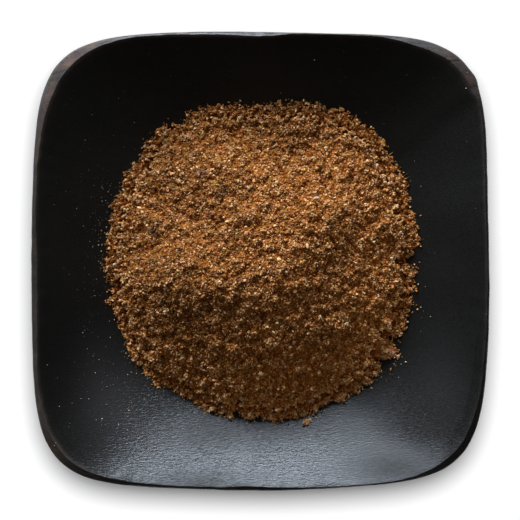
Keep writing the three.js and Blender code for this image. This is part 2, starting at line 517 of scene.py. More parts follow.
# ------------------------------------------------------------------ the heap's form
HEAP_RADIUS = 44.47
HEAP_WAVES = [
    (1, 0.51, 0.74),
    (2, -0.59, 0.4),
    (3, -0.4, 0.35),
    (4, -1.08, 0.12),
    (5, -0.11, -0.33),
    (6, 0.03, -0.1),
    (7, -0.11, 0.25),
    (8, 0.03, -0.11),
    (9, -0.21, -0.05),
    (10, 0.04, -0.02),
    (11, -0.21, -0.07),
    (12, -0.25, 0.05),
]
HEAP_TOP = 34.5
CREST = np.array([-3.0, -5.0])
CREST_ROUNDING = 0.45
HEAP_EDGE_THICKNESS = 0.7
EDGE_FADE = 0.12
# Ridges and hollows: x, y, height, half length, half width (mm) and turn.
RIDGES = [
    (16.6, 40.7, -0.92, 12.7, 3.2, 1.01),
    (-2.0, 35.7, -1.29, 5.8, 3.5, 0.41),
    (-12.7, 35.4, -2.16, 9.3, 4.1, 0.41),
    (8.9, 30.9, -1.28, 13.0, 3.1, 0.1),
    (-10.9, 27.7, 0.96, 5.3, 2.5, 0.3),
    (11.4, 26.4, -1.87, 13.0, 9.0, -0.31),
    (-35.6, 20.8, 1.41, 6.1, 3.3, 0.83),
    (37.0, 15.7, -1.38, 10.2, 3.4, 0.66),
    (-9.3, 15.7, -0.67, 5.7, 2.8, 1.11),
    (-21.8, 14.7, -1.91, 13.0, 4.7, -0.59),
    (19.0, 13.5, 1.79, 6.7, 3.5, 0.06),
    (1.3, 10.7, -0.54, 4.5, 2.2, 0.26),
    (-35.4, 8.8, -1.27, 4.1, 7.2, 0.15),
    (35.0, 3.9, -1.65, 4.6, 3.1, -0.5),
    (12.3, 3.1, 1.45, 3.6, 9.0, -0.8),
    (-34.9, 2.0, -1.56, 13.0, 3.1, 0.45),
    (5.2, 1.2, -0.62, 8.3, 2.5, -0.15),
    (-24.9, -6.4, 1.17, 8.2, 5.3, 0.26),
    (-17.0, -8.7, 1.0, 8.9, 2.7, 0.4),
    (-6.1, -10.4, 0.43, 13.0, 2.5, -0.25),
    (13.7, -12.0, -0.6, 10.6, 2.6, 0.36),
    (38.6, -13.5, -1.09, 9.8, 5.0, -0.78),
    (-27.3, -23.0, -1.07, 6.4, 4.5, 0.65),
    (25.5, -29.3, -1.15, 3.2, 4.8, -0.34),
    (15.9, -29.5, 0.58, 4.0, 2.7, 0.29),
    (-1.4, -33.9, -0.42, 13.0, 4.7, 0.24),
]
# Smaller hummocks on them, in the same terms.
HUMMOCKS = [
    (35.1, -24.4, 0.55, 3.8, 1.8, 0.87),
    (34.0, -17.7, -0.52, 3.4, 1.8, 0.66),
    (-28.7, 16.4, -0.51, 3.0, 1.9, -0.18),
    (36.4, 25.2, 0.5, 8.0, 2.0, -0.94),
    (8.3, -42.0, 0.49, 4.8, 2.5, -0.07),
    (12.4, -8.6, 0.48, 5.0, 2.9, -0.97),
    (38.1, -3.4, 0.48, 3.3, 2.0, 0.16),
    (-37.9, 11.8, -0.45, 2.3, 1.7, 0.16),
    (-30.8, 30.9, 0.44, 8.0, 1.8, 0.79),
    (26.1, -18.1, 0.4, 7.8, 2.8, -0.04),
    (5.6, -21.9, 0.34, 3.0, 2.4, 0.87),
    (21.8, -0.7, 0.33, 3.3, 1.8, 0.37),
    (-7.0, -18.0, -0.31, 8.0, 2.4, -0.84),
    (-13.9, -23.2, 0.3, 6.2, 2.7, 0.82),
    (-0.4, 22.1, 0.3, 3.4, 1.8, 0.02),
    (33.1, -12.9, 0.3, 5.5, 1.8, -0.57),
    (18.8, -21.0, -0.3, 4.8, 2.1, 0.49),
    (22.0, 8.3, 0.29, 3.1, 1.8, 0.07),
    (38.8, -10.4, -0.29, 4.3, 1.8, -0.4),
    (-11.7, -30.9, -0.28, 5.6, 3.3, -1.36),
    (-33.4, 17.6, 0.26, 7.9, 1.5, -0.21),
    (16.4, 20.1, -0.25, 5.4, 1.8, 0.3),
    (-22.4, -9.3, 0.25, 7.1, 2.1, -0.99),
    (-36.5, -3.3, -0.24, 2.9, 1.7, 0.62),
    (4.8, -10.9, -0.23, 3.6, 1.7, -0.84),
    (26.5, -14.2, -0.22, 8.0, 1.9, -0.71),
    (16.5, 25.2, 0.22, 2.4, 1.5, 0.07),
    (-11.3, 23.0, -0.21, 7.5, 1.8, -0.75),
    (-1.6, -31.2, 0.18, 8.0, 2.7, 0.34),
    (4.1, -6.2, 0.17, 3.8, 1.5, 0.84),
]
HEIGHT_SCALE = 1.0


def heap_edge(t):
    r = HEAP_RADIUS + waves(HEAP_WAVES, t)
    return r * np.cos(t), r * np.sin(t)


# Bits that stick out of the heap's edge and gaps in it: turn angle and half width in
# degrees, and how far out in mm.
EDGE_BITS = [
    (-177, 1.6, 0.8),
    (-170, 3.0, -1.5),
    (-165, 1.6, 1.3),
    (-147, 2.0, -0.7),
    (-138, 1.6, -1.1),
    (-130.5, 2.6, 1.2),
    (-125, 2.0, -0.6),
    (-111, 1.6, 1.0),
    (-99, 1.6, -1.9),
    (-90, 1.6, -0.8),
    (-84, 2.0, 0.7),
    (-65, 2.6, -0.9),
    (-60, 1.5, 1.1),
    (-57, 1.4, -0.6),
    (-54, 1.4, 0.8),
    (-51, 1.4, -0.9),
    (-48, 1.5, 1.2),
    (-39.5, 1.7, -1.7),
    (-35.2, 1.7, 2.0),
    (-30.5, 2.0, -2.3),
    (-20, 2.8, -1.4),
    (-4, 1.6, 0.6),
    (0, 1.8, -2.2),
    (7.5, 3.0, 1.4),
    (20, 4.5, -1.4),
    (30, 2.0, 0.7),
    (37.5, 2.6, -0.8),
    (62, 3.0, 0.9),
    (66, 1.3, -0.7),
    (96, 1.8, -0.7),
    (120, 2.6, -1.2),
    (128, 2.6, 0.9),
    (140, 2.8, -1.4),
    (147.5, 2.2, 0.8),
    (153, 1.6, -0.6),
    (158, 2.2, 0.7),
    (172, 6.0, -0.6),
]


def edge_bits(t):
    """How far the edge sticks out at turn angles, as a share of the heap's radius."""
    degrees = np.degrees(t)
    out = np.zeros_like(degrees)
    for angle, wide, far in EDGE_BITS:
        off = (degrees - angle + 180) % 360 - 180
        out += far * np.exp(-((off / (0.8 * wide)) ** 2))
    return out / HEAP_RADIUS


edge_t = np.linspace(-np.pi, np.pi, 1441)
edge_x, edge_y = heap_edge(edge_t)
edge_low = wood_at(edge_x + RIM_CENTRE[0], edge_y + RIM_CENTRE[1]) + 0.3 + HEAP_EDGE_THICKNESS
edge_way = np.unwrap(np.arctan2(edge_y - CREST[1], edge_x - CREST[0]))
edge_far = np.hypot(edge_x - CREST[0], edge_y - CREST[1])


def out_share(x, y):
    """0 at the crest, 1 at the heap's edge, and the edge's height that way."""
    x, y = x - RIM_CENTRE[0], y - RIM_CENTRE[1]
    way = np.arctan2(y - CREST[1], x - CREST[0])
    first = edge_way[0]
    way = (way - first) % (2 * np.pi) + first
    far = np.interp(way, edge_way, edge_far)
    return np.hypot(x - CREST[0], y - CREST[1]) / far, np.interp(way, edge_way, edge_low)


def heap_surface(x, y):
    """Height of the heap's skin before its grains, and the share of the way out."""
    q, low = out_share(x, y)
    u0, v0 = x - RIM_CENTRE[0], y - RIM_CENTRE[1]
    relief = np.zeros_like(x)
    for cx, cy, height, long, wide, turn in RIDGES + HUMMOCKS:
        u = ((u0 - cx) * math.cos(turn) + (v0 - cy) * math.sin(turn)) / long
        v = (-(u0 - cx) * math.sin(turn) + (v0 - cy) * math.cos(turn)) / wide
        relief += height * np.exp(-0.5 * (u * u + v * v))
    mound = (HEAP_TOP - low) * rounded_slope(np.minimum(q, 1.15), CREST_ROUNDING)
    return low + (mound + relief * clamp((1 - q) / EDGE_FADE)) * HEIGHT_SCALE, q


def rounded_lumps(rng, count, half, spread, height):
    """A surface of rounded lumps on the skin's grid, with creases where they meet: count
    lumps of median half width half (mm), standing height times that over their edge."""
    field = np.zeros(size)
    r = np.sqrt(rng.random(count)) * 46.5
    t = rng.uniform(-np.pi, np.pi, count)
    wide = half * np.exp(rng.normal(size=count) * spread)
    rise = height * wide * np.exp(rng.normal(size=count) * 0.25)
    lift = rng.uniform(-0.5, 0.35, count) * rise
    long = np.exp(rng.normal(size=count) * 0.18)
    turn = rng.uniform(0, np.pi, count)
    big = (wide**2 + rise**2) / (2 * rise)
    reach = int(np.ceil(wide.max() * 1.45 / STEP))
    x, y = r * np.cos(t), r * np.sin(t)
    col, row = np.round((x - axis[0]) / STEP).astype(int), np.round((y - axis[0]) / STEP).astype(int)
    for dj in range(-reach, reach + 1):
        for di in range(-reach, reach + 1):
            i, j = row + di, col + dj
            ok = (i >= 0) & (j >= 0) & (i < size[0]) & (j < size[1])
            i, j = np.clip(i, 0, size[0] - 1), np.clip(j, 0, size[1] - 1)
            u, v = axis[j] - x, axis[i] - y
            a = (u * np.cos(turn) + v * np.sin(turn)) / long
            b = (-u * np.sin(turn) + v * np.cos(turn)) * long
            d2 = a * a + b * b
            ok &= d2 < wide**2
            z = np.sqrt(np.maximum(big**2 - d2, 0)) - (big - rise) + lift
            np.maximum.at(field, (i[ok], j[ok]), z[ok])
    return field


# The skin on a fine grid: mound, ridges, rounded lumps on lumps and the grain of the powder.
STEP = 0.275
HALF = 172
axis = np.arange(-HALF, HALF + 1) * STEP
grid_x, grid_y = np.meshgrid(axis, axis, indexing="xy")
noise_rng = np.random.default_rng(41)
size = grid_x.shape
skin, share = heap_surface(grid_x, grid_y)
clumps = band_noise(noise_rng, size, STEP, 5.0)
lumps = band_noise(noise_rng, size, STEP, 2.4)
crumbs = band_noise(noise_rng, size, STEP, 1.3)
grit = band_noise(noise_rng, size, STEP, 0.75)
big_lumps = rounded_lumps(noise_rng, 1500, 1.75, 0.3, 0.34)
mid_lumps = rounded_lumps(noise_rng, 5200, 0.95, 0.25, 0.45)
small_lumps = rounded_lumps(noise_rng, 15000, 0.52, 0.2, 0.6)
inside = clamp((1.0 - share) / 0.05)
bits = edge_bits(np.arctan2(grid_y - RIM_CENTRE[1], grid_x - RIM_CENTRE[0]))
skin = skin + inside * (
    0.18 * clumps
    + 0.08 * lumps
    + 0.04 * crumbs
    + 0.02 * grit
    + 0.70 * (big_lumps - 0.35)
    + 0.66 * (mid_lumps - 0.3)
    + 0.80 * (small_lumps - 0.22)
)
CORE_DEPTH = 0.33  # the core lies this far under the skin that the grains make
# a ragged edge that thins out and dips into the wood all round
ragged = share - bits + 0.008 * crumbs + 0.010 * lumps + 0.006 * clumps + 0.004 * grit
wood = wood_at(grid_x, grid_y)
over = (1.0 - ragged) * np.where(ragged < 1.0, 24.0, 42.0)
skin = np.where(ragged > 0.93, np.minimum(skin, wood + CORE_DEPTH + 0.08 + over), skin)
thin = (share > 0.95) & (ragged < 1.0)
skin = np.where(thin, np.maximum(skin, wood + CORE_DEPTH + 0.06 + 0.35 * over), skin)


def blurred(field, wide):
    fy = np.fft.fftfreq(field.shape[0], STEP)[:, None]
    fx = np.fft.rfftfreq(field.shape[1], STEP)[None, :]
    soft = np.exp(-2 * (np.pi * wide) ** 2 * (fx**2 + fy**2))
    return np.fft.irfft2(np.fft.rfft2(field) * soft, field.shape)


# How far each place stands over its surroundings: tops are painted paler and gaps darker and deeper brown, as painted
# light and painted shade.
standing = skin - blurred(skin, 0.75)
standing = clamp(standing / standing[share < 0.95].std(), -2.5, 2.5)

# Slow drifts of colour through the heap, as shares: warm or cool, light or dark, yellow or blue.
tint_rng = np.random.default_rng(5)
warmth = 0.75 * band_noise(tint_rng, size, STEP, 5.0) + 0.65 * band_noise(tint_rng, size, STEP, 2.2)
shade = 0.6 * band_noise(tint_rng, size, STEP, 7.0) + 0.8 * band_noise(tint_rng, size, STEP, 1.6)
yellow = 0.6 * band_noise(tint_rng, size, STEP, 4.5) + 0.8 * band_noise(tint_rng, size, STEP, 1.8)
# Places where the colour changes: x, y, half width (mm) and what it does to the colour. The first two are bits of
# another colour; the one at (-29.6, 8.6) is painted shade in a hollow.
SPOTS = [
    (-9.9, 19.3, 1.1, (0.32, 0.45, 0.75)),
    (-12.0, 21.5, 1.0, (1.15, 1.2, 0.75)),
    # painted shade in a hollow
    (-29.6, 8.6, 1.9, (0.42, 0.48, 0.6)),
    (8.4, 32.1, 1.1, (0.5, 0.6, 0.7)),
    (17.2, 22.4, 1.6, (0.75, 0.68, 0.85)),
    (-16.5, 24.6, 1.5, (0.55, 0.55, 0.7)),
    (-13.9, 12.5, 1.3, (0.7, 0.6, 0.9)),
    (13.1, -13.4, 1.2, (0.7, 0.62, 0.8)),
    (37.0, -25.4, 1.5, (1.45, 1.05, 1.5)),
]
# Broad pools of painted light and painted shade on the heap: x, y, half width (mm) and amount.
PAINTED_LIGHT_DRIFTS = [
    (4.0, 41.0, 9.0, -0.36),
    (-27.0, 26.0, 9.0, -0.32),
    (-36.0, 1.0, 8.0, -0.18),
    (-13.0, 21.0, 8.0, -0.15),
    (-9.0, 8.0, 5.5, -0.12),
    (-24.0, -10.5, 8.5, -0.38),
    (-6.0, -10.0, 7.0, -0.14),
    (18.0, 19.0, 6.0, 0.12),
    (31.0, 2.0, 7.0, 0.17),
    (20.0, 9.0, 5.0, -0.20),
    (20.5, -19.5, 5.0, -0.14),
    (31.0, -21.0, 7.5, 0.32),
    (18.0, -32.0, 11.0, 0.20),
    (-1.0, -39.0, 9.0, 0.21),
]
broad_light = sum(
    amount * np.exp(-0.5 * ((grid_x - cx) ** 2 + (grid_y - cy) ** 2) / wide**2)
    for cx, cy, wide, amount in PAINTED_LIGHT_DRIFTS
)
# the drifts' painted light and painted shade join the shade field
shade = shade + broad_light / 0.07
spotted = np.zeros(size + (3,))
for spot_x, spot_y, wide, factor in SPOTS:
    near = np.exp(-(((grid_x - spot_x) ** 2 + (grid_y - spot_y) ** 2) / (2 * (wide / 1.6) ** 2)) ** 1.5)
    spotted += near[..., None] * np.log(np.array(factor))


def field_at(field, x, y):
    i = clamp(np.round((y - axis[0]) / STEP), 0, len(axis) - 1).astype(int)
    j = clamp(np.round((x - axis[0]) / STEP), 0, len(axis) - 1).astype(int)
    return field[i, j]


def toned(rng, base, x, y, light, hue_spread=1.0):
    """Colours at points of the heap. base is a green albedo and powers of e on red and blue;
    light (a power of e, which carries painted light and shade for grains and core), the relief
    (painted shade in the gaps, painted light on the tops) and the heap's drifts (painted light
    and shade) move it. Paler bits are greyer and darker bits redder, all along one curve, with a
    small random hue for each point."""
    green, red_shift, blue_shift = base
    count = len(x)
    stands = field_at(standing, x, y)
    warm = 0.035 * field_at(warmth, x, y) + hue_spread * 0.018 * rng.normal(size=count)
    blue = -0.09 * field_at(yellow, x, y) + hue_spread * 0.055 * rng.normal(size=count)
    own = np.log(green / 0.19) + 1.15 * light
    # the relief term paints the gaps darker and the tops lighter: painted shade and painted light
    level = clamp(0.19 * np.exp(own + 0.35 * stands + 0.08 * field_at(shade, x, y)), 0.004, 0.56)
    over = clamp(0.70 * own + 0.42 * stands, -3.0, 1.0)
    red = 2.39 * np.exp(np.where(over < 0, -0.34, -0.33) * over + red_shift + 1.3 * warm)
    low = 0.289 * np.exp(np.where(over < 0, 0.85, 0.58) * over + blue_shift + blue - 0.6 * warm)
    tone = np.stack([level * red, level, level * low], -1) * np.exp(field_at(spotted, x, y))
    return clamp(tone, 0.0015, np.array([0.88, 0.6, 0.36]))


def heap_core():
    kept = share - bits < 1.03
    number = np.full(size, -1)
    number[kept] = np.arange(kept.sum())
    z = skin - CORE_DEPTH
    top = np.stack([grid_x[kept], grid_y[kept], z[kept]], -1)
    a, b, c, d = number[:-1, :-1], number[:-1, 1:], number[1:, 1:], number[1:, :-1]
    whole = (a >= 0) & (b >= 0) & (c >= 0) & (d >= 0)
    a, b, c, d = a[whole], b[whole], c[whole], d[whole]
    # each square is cut along the diagonal that bends less
    flip = np.abs(top[a, 2] - top[c, 2]) > np.abs(top[b, 2] - top[d, 2])
    first = np.where(flip[:, None], np.stack([a, b, d], -1), np.stack([a, b, c], -1))
    second = np.where(flip[:, None], np.stack([b, c, d], -1), np.stack([a, c, d], -1))
    faces = np.vstack([first, second])
    # the underside is a shallow cone from the edge loop to the middle of the hollow
    edges = np.vstack([faces[:, [0, 1]], faces[:, [1, 2]], faces[:, [2, 0]]])
    key = edges[:, 0] * len(top) + edges[:, 1]
    back = edges[:, 1] * len(top) + edges[:, 0]
    rim = edges[~np.isin(key, back)]
    middle = np.array([[RIM_CENTRE[0], RIM_CENTRE[1], BASE_THICKNESS + 0.35]])
    under = np.stack([rim[:, 1], rim[:, 0], np.full(len(rim), len(top))], -1)
    used = np.zeros(len(top) + 1, bool)
    faces = np.vstack([faces, under])
    used[faces.ravel()] = True
    renumber = np.cumsum(used) - 1
    places = np.vstack([top, middle])[used]
    rng = np.random.default_rng(11)
    # the core is painted darker, and so redder, as painted shade in the gaps between the grains
    light = rng.normal(size=len(places)) * 0.12 - 0.60
    tone = toned(rng, (0.200, 0.14, -0.45), places[:, 0], places[:, 1], light)
    return mesh_piece(
        "spice_core", places, renumber[faces], smooth=True, colours={"tone": tone}
    )


def skin_at(x, y):
    """Height and slopes of the skin at points, from the grid."""
    u = clamp((x - axis[0]) / STEP, 0, len(axis) - 1.001)
    v = clamp((y - axis[0]) / STEP, 0, len(axis) - 1.001)
    i, j = v.astype(int), u.astype(int)
    fv, fu = v - i, u - j
    a, b, c, d = skin[i, j], skin[i, j + 1], skin[i + 1, j], skin[i + 1, j + 1]
    z = (a * (1 - fu) + b * fu) * (1 - fv) + (c * (1 - fu) + d * fu) * fv
    dx = ((b - a) * (1 - fv) + (d - c) * fv) / STEP
    dy = ((c - a) * (1 - fu) + (d - b) * fu) / STEP
    return z, dx, dy


# ------------------------------------------------------------------ grains
OCTAHEDRON = (
    np.array([[1, 0, 0], [-1, 0, 0], [0, 1, 0], [0, -1, 0], [0, 0, 1], [0, 0, -1]], float),
    np.array(
        [[0, 2, 4], [2, 1, 4], [1, 3, 4], [3, 0, 4], [2, 0, 5], [1, 2, 5], [3, 1, 5], [0, 3, 5]]
    ),
)
GOLD = (1 + 5**0.5) / 2
ICOSAHEDRON = (
    np.array(
        [
            [-1, GOLD, 0],
            [1, GOLD, 0],
            [-1, -GOLD, 0],
            [1, -GOLD, 0],
            [0, -1, GOLD],
            [0, 1, GOLD],
            [0, -1, -GOLD],
            [0, 1, -GOLD],
            [GOLD, 0, -1],
            [GOLD, 0, 1],
            [-GOLD, 0, -1],
            [-GOLD, 0, 1],
        ],
        float,
    )
    / math.hypot(1, GOLD),
    np.array(
        [
            [0, 11, 5],
            [0, 5, 1],
            [0, 1, 7],
            [0, 7, 10],
            [0, 10, 11],
            [1, 5, 9],
            [5, 11, 4],
            [11, 10, 2],
            [10, 7, 6],
            [7, 1, 8],
            [3, 9, 4],
            [3, 4, 2],
            [3, 2, 6],
            [3, 6, 8],
            [3, 8, 9],
            [4, 9, 5],
            [2, 4, 11],
            [6, 2, 10],
            [8, 6, 7],
            [9, 8, 1],
        ]
    ),
)


def turned(rng, count, normals, tilt):
    """Random turns: free for tilt None, else about the normals with a random lean of rms tilt."""
    if tilt is None:
        q = rng.normal(size=(count, 4))
        q /= np.linalg.norm(q, axis=1)[:, None]
        w, x, y, z = q.T
        return np.stack(
            [
                np.stack([1 - 2 * (y * y + z * z), 2 * (x * y - z * w), 2 * (x * z + y * w)], -1),
                np.stack([2 * (x * y + z * w), 1 - 2 * (x * x + z * z), 2 * (y * z - x * w)], -1),
                np.stack([2 * (x * z - y * w), 2 * (y * z + x * w), 1 - 2 * (x * x + y * y)], -1),
            ],
            1,
        )
    up = normals + rng.normal(size=(count, 3)) * tilt
    up /= np.linalg.norm(up, axis=1)[:, None]
    way = rng.normal(size=(count, 3))
    side = np.cross(up, way)
    side /= np.linalg.norm(side, axis=1)[:, None]
    return np.stack([side, np.cross(up, side), up], -1)


def grain_piece(name, rng, groups, tilt=0.6, jitter=0.22):
    """Joined grains, in groups of one form each: a small closed solid, uneven, stretched and
    turned for every grain. A group is form, places, normals, half sizes and colours."""
    places, faces, tones, first = [], [], [], 0
    for (corners, sides), middles, normals, half_sizes, colours in groups:
        count = len(middles)
        shape = corners[None] * (1 + rng.normal(size=(count, len(corners), 1)) * jitter * 0.6)
        shape = shape + rng.normal(size=shape.shape) * jitter * 0.4
        shape = shape * half_sizes[:, None, :]
        shape = np.einsum("nij,nkj->nki", turned(rng, count, normals, tilt), shape)
        places.append((shape + middles[:, None, :]).reshape(-1, 3))
        faces.append(
            (sides[None] + (np.arange(count) * len(corners))[:, None, None]).reshape(-1, 3) + first
        )
        tones.append(np.repeat(colours, len(corners), 0))
        first += count * len(corners)
    return mesh_piece(
        name, np.vstack(places), np.vstack(faces), colours={"tone": np.vstack(tones)}
    )


def inside_heap(rng, x, y, limit=0.995):
    q, _ = out_share(x, y)
    q = q - edge_bits(np.arctan2(y - RIM_CENTRE[1], x - RIM_CENTRE[0]))
    return q < limit + rng.normal(size=len(x)) * 0.006


def scatter(rng, count):
    """Points at random all over the heap."""
    x, y = np.empty(0), np.empty(0)
    while len(x) < count:
        r = 46.5 * np.sqrt(rng.random(count))
        t = rng.uniform(-np.pi, np.pi, count)
        px, py = r * np.cos(t), r * np.sin(t)
        keep = inside_heap(rng, px, py)
        x, y = np.r_[x, px[keep]], np.r_[y, py[keep]]
    return x[:count], y[:count]


def packed(rng, gap, loose):
    """Points all over the heap, a grain's width apart, moved at random by loose of that width."""
    i, j = np.meshgrid(np.arange(-90, 91), np.arange(-90, 91))
    x = ((i + 0.5 * (j % 2)) * gap).ravel()
    y = (j * gap * 0.866).ravel()
    x = x + rng.normal(size=len(x)) * gap * loose
    y = y + rng.normal(size=len(y)) * gap * loose
    keep = inside_heap(rng, x, y)
    return x[keep], y[keep]


# The kinds of grain: share of the heap, colour (as toned takes it), spread of shade, flatness
# and length.
KINDS = {
    "grains_tan": (0.32, (0.262, 0.0, 0.0), 0.24, 0.85, 1.15),
    "grains_brown": (0.31, (0.152, 0.02, -0.05), 0.28, 0.85, 1.15),
    "grains_dark": (0.14, (0.056, 0.06, -0.25), 0.32, 0.85, 1.2),
    "grains_rust": (0.08, (0.155, 0.06, 0.0), 0.24, 0.85, 1.15),
    "grains_olive": (0.06, (0.180, -0.06, -0.07), 0.24, 0.75, 1.25),
    "grains_pale": (0.09, (0.44, 0.0, 0.0), 0.16, 0.65, 1.35),
}
GRAIN_GAP = 0.67  # between the middles of neighbouring grains
GRAIN_HALF = 0.28
# The grains strewn over them: count, median half size, its spread, lowest and highest place.
FINER = [(2200, 0.33, 0.22, -0.4, 0.5), (15000, 0.18, 0.25, -0.5, 0.9), (10500, 0.115, 0.25, -0.4, 1.6)]

# Loose clumps on the wood beside the heap: x, y, half width (mm), height and grains.
CLUMPS = [
    (36.9, -25.2, 1.35, 0.9, 60),
    (38.6, -26.6, 0.55, 0.4, 9),
    (12.6, -45.2, 0.95, 0.6, 26),
    (13.6, -44.6, 0.55, 0.4, 8),
    (-8.3, -43.3, 0.85, 0.9, 30),
    (-3.2, -43.1, 1.0, 1.0, 38),
    (2.8, -43.8, 0.8, 0.7, 20),
    (-13.6, -41.6, 0.8, 0.7, 18),
    (21.9, -38.4, 0.75, 0.6, 16),
    (30.1, -33.0, 0.9, 0.7, 24),
    (27.2, -34.9, 0.8, 0.6, 18),
    (31.9, -31.4, 0.7, 0.6, 14),
    (-32.9, -20.2, 0.5, 0.4, 8),
    (-30.5, -25.4, 0.6, 0.45, 10),
    (-28.7, -25.6, 0.5, 0.4, 8),
    (-42.6, 3.8, 0.6, 0.5, 9),
    (-42.0, 11.2, 0.7, 0.5, 12),
    (-43.1, -2.6, 0.5, 0.4, 7),
    (-41.7, 15.4, 0.5, 0.4, 7),
    (-30.6, 32.1, 0.5, 0.4, 6),
    (43.9, 9.0, 0.5, 0.4, 7),
    (43.6, -8.1, 0.6, 0.5, 9),
]
# Where single grains lie beside the heap: x, y, half widths along x and y, grains.
STRAYS = [
    (-31.0, -26.5, 3.2, 2.8, 34),
    (-34.5, -22.0, 2.4, 3.6, 14),
    (-43.0, 8.0, 1.0, 9.0, 12),
    (34.5, -30.0, 3.6, 3.0, 20),
    (38.5, -25.6, 1.8, 1.8, 16),
    (14.0, -44.4, 3.0, 1.0, 12),
    (-20.0, -37.5, 5.0, 1.2, 10),
    (-5.0, -43.2, 8.0, 0.8, 12),
    (44.3, 0.0, 1.0, 12.0, 16),
]


def beside_heap(rng):
    """Grains on the wood round the heap: x, y, height over the wood and half size."""
    parts = []
    t = rng.uniform(-np.pi, np.pi, 1000)
    ex, ey = heap_edge(t)
    out = 1 + rng.exponential(0.007, len(t)) - 0.006 + edge_bits(t)
    half = 0.165 * np.exp(rng.normal(size=len(t)) * 0.35)
    parts.append((ex * out + RIM_CENTRE[0], ey * out + RIM_CENTRE[1], half * 0.6, half))
    # bits of the edge that stick out, each of a few grains
    for turn in np.r_[rng.uniform(-np.pi, np.pi, 46), rng.uniform(-1.25, -0.3, 26)]:
        ex, ey = heap_edge(turn)
        count = rng.integers(8, 17)
        out = 1 + rng.uniform(-0.008, 0.009) + edge_bits(turn)
        along, aside = rng.normal(size=(2, count)) * np.array([[0.55], [0.38]])
        way = turn + rng.normal() * 0.6
        half = 0.21 * np.exp(rng.normal(size=count) * 0.3)
        parts.append(
            (
                ex * out + RIM_CENTRE[0] + along * math.cos(way) - aside * math.sin(way),
                ey * out + RIM_CENTRE[1] + along * math.sin(way) + aside * math.cos(way),
                half * 0.7 + rng.random(count) * 0.45,
                half,
            )
        )
    for x, y, wide, tall, count in CLUMPS:
        u, v = rng.normal(size=(2, count)) * 0.5
        half = 0.24 * np.exp(rng.normal(size=count) * 0.3)
        pile = tall * np.maximum(1 - 0.6 * (u * u + v * v), 0) * rng.random(count) ** 0.6
        parts.append((x + u * wide, y + v * wide * 0.85, half * 0.7 + pile, half))
    for x, y, wide, deep, count in STRAYS:
        u, v = rng.normal(size=(2, count))
        half = 0.17 * np.exp(rng.normal(size=count) * 0.35)
        parts.append((x + u * wide, y + v * deep, half * 0.7, half))
    x, y, up, half = (np.concatenate(p) for p in zip(*parts))
    return x, y, up, half


def wood_slopes(x, y, step=0.2):
    z = wood_at(x, y)
    return z, (wood_at(x + step, y) - z) / step, (wood_at(x, y + step) - z) / step


def heap_grains():
    rng = np.random.default_rng(100)
    names = list(KINDS)
    parts = {name: [] for name in names}
    layers = []
    x, y = packed(rng, GRAIN_GAP, 0.24)
    half = clamp(GRAIN_HALF * np.exp(rng.normal(size=len(x)) * 0.26), 0.12, 0.55)
    z, dx, dy = skin_at(x, y)
    lift = rng.uniform(-0.55, 0.5, len(x))
    rim = smoothstep(out_share(x, y)[0] - edge_bits(np.arctan2(y - RIM_CENTRE[1], x - RIM_CENTRE[0])), 0.955, 0.995)
    half = half * (1 - 0.10 * rim)
    # the grains at the heap's lower edge are painted lighter: painted light
    painted_edge_light = 0.50 * rim * smoothstep(-y, 8, 24)
    # raised grains are painted lighter and low ones darker: painted light and painted shade
    layers.append((ICOSAHEDRON, x, y, z - 0.16 + lift * half, dx, dy, half, 0.12 * lift + painted_edge_light))
    for count, middle, spread, low, high in FINER:
        x, y = scatter(rng, count)
        half = clamp(middle * np.exp(rng.normal(size=count) * spread), 0.06, 0.5)
        z, dx, dy = skin_at(x, y)
        lift = rng.uniform(low, high, count)
        form = ICOSAHEDRON if middle > 0.25 else OCTAHEDRON
        # raised grains are painted lighter and low ones darker: painted light and painted shade
        layers.append((form, x, y, z - 0.10 + lift * half, dx, dy, half, 0.10 * lift))
    x, y, up, half = beside_heap(rng)
    wood_z, dx, dy = wood_slopes(x, y)
    z = np.maximum(wood_z, np.where(out_share(x, y)[0] < 1.03, skin_at(x, y)[0] - 0.2, -9)) + up
    # grains beside the heap are painted lighter towards the bottom: painted light
    layers.append((OCTAHEDRON, x, y, z, dx, dy, 1.12 * half, 0.03 + 0.50 * smoothstep(-y, 0, 24)))
    for form, x, y, z, dx, dy, half, light in layers:
        n = len(x)
        normals = np.stack([-dx, -dy, np.ones(n)], -1)
        normals /= np.linalg.norm(normals, axis=1)[:, None]
        kind = rng.choice(len(names), n, p=[KINDS[name][0] for name in names])
        for number, name in enumerate(names):
            _, colour, shades, flat, long = KINDS[name]
            of = kind == number
            count = of.sum()
            stretch = np.exp(rng.normal(size=(count, 3)) * 0.16) * np.array(
                [long, 1 / long**0.5, flat]
            )
            shades = light[of] + rng.normal(size=count) * shades * np.where(half[of] < 0.22, 2.0, 1.5)
            shades = shades - 1.2 * clamp(half[of] - 0.30, 0, 0.2)
            parts[name].append(
                (
                    form,
                    np.stack([x, y, z], -1)[of],
                    normals[of],
                    half[of][:, None] * stretch,
                    toned(rng, colour, x[of], y[of], shades),
                )
            )
    return [grain_piece(name, rng, groups, 1.5) for name, groups in parts.items()]


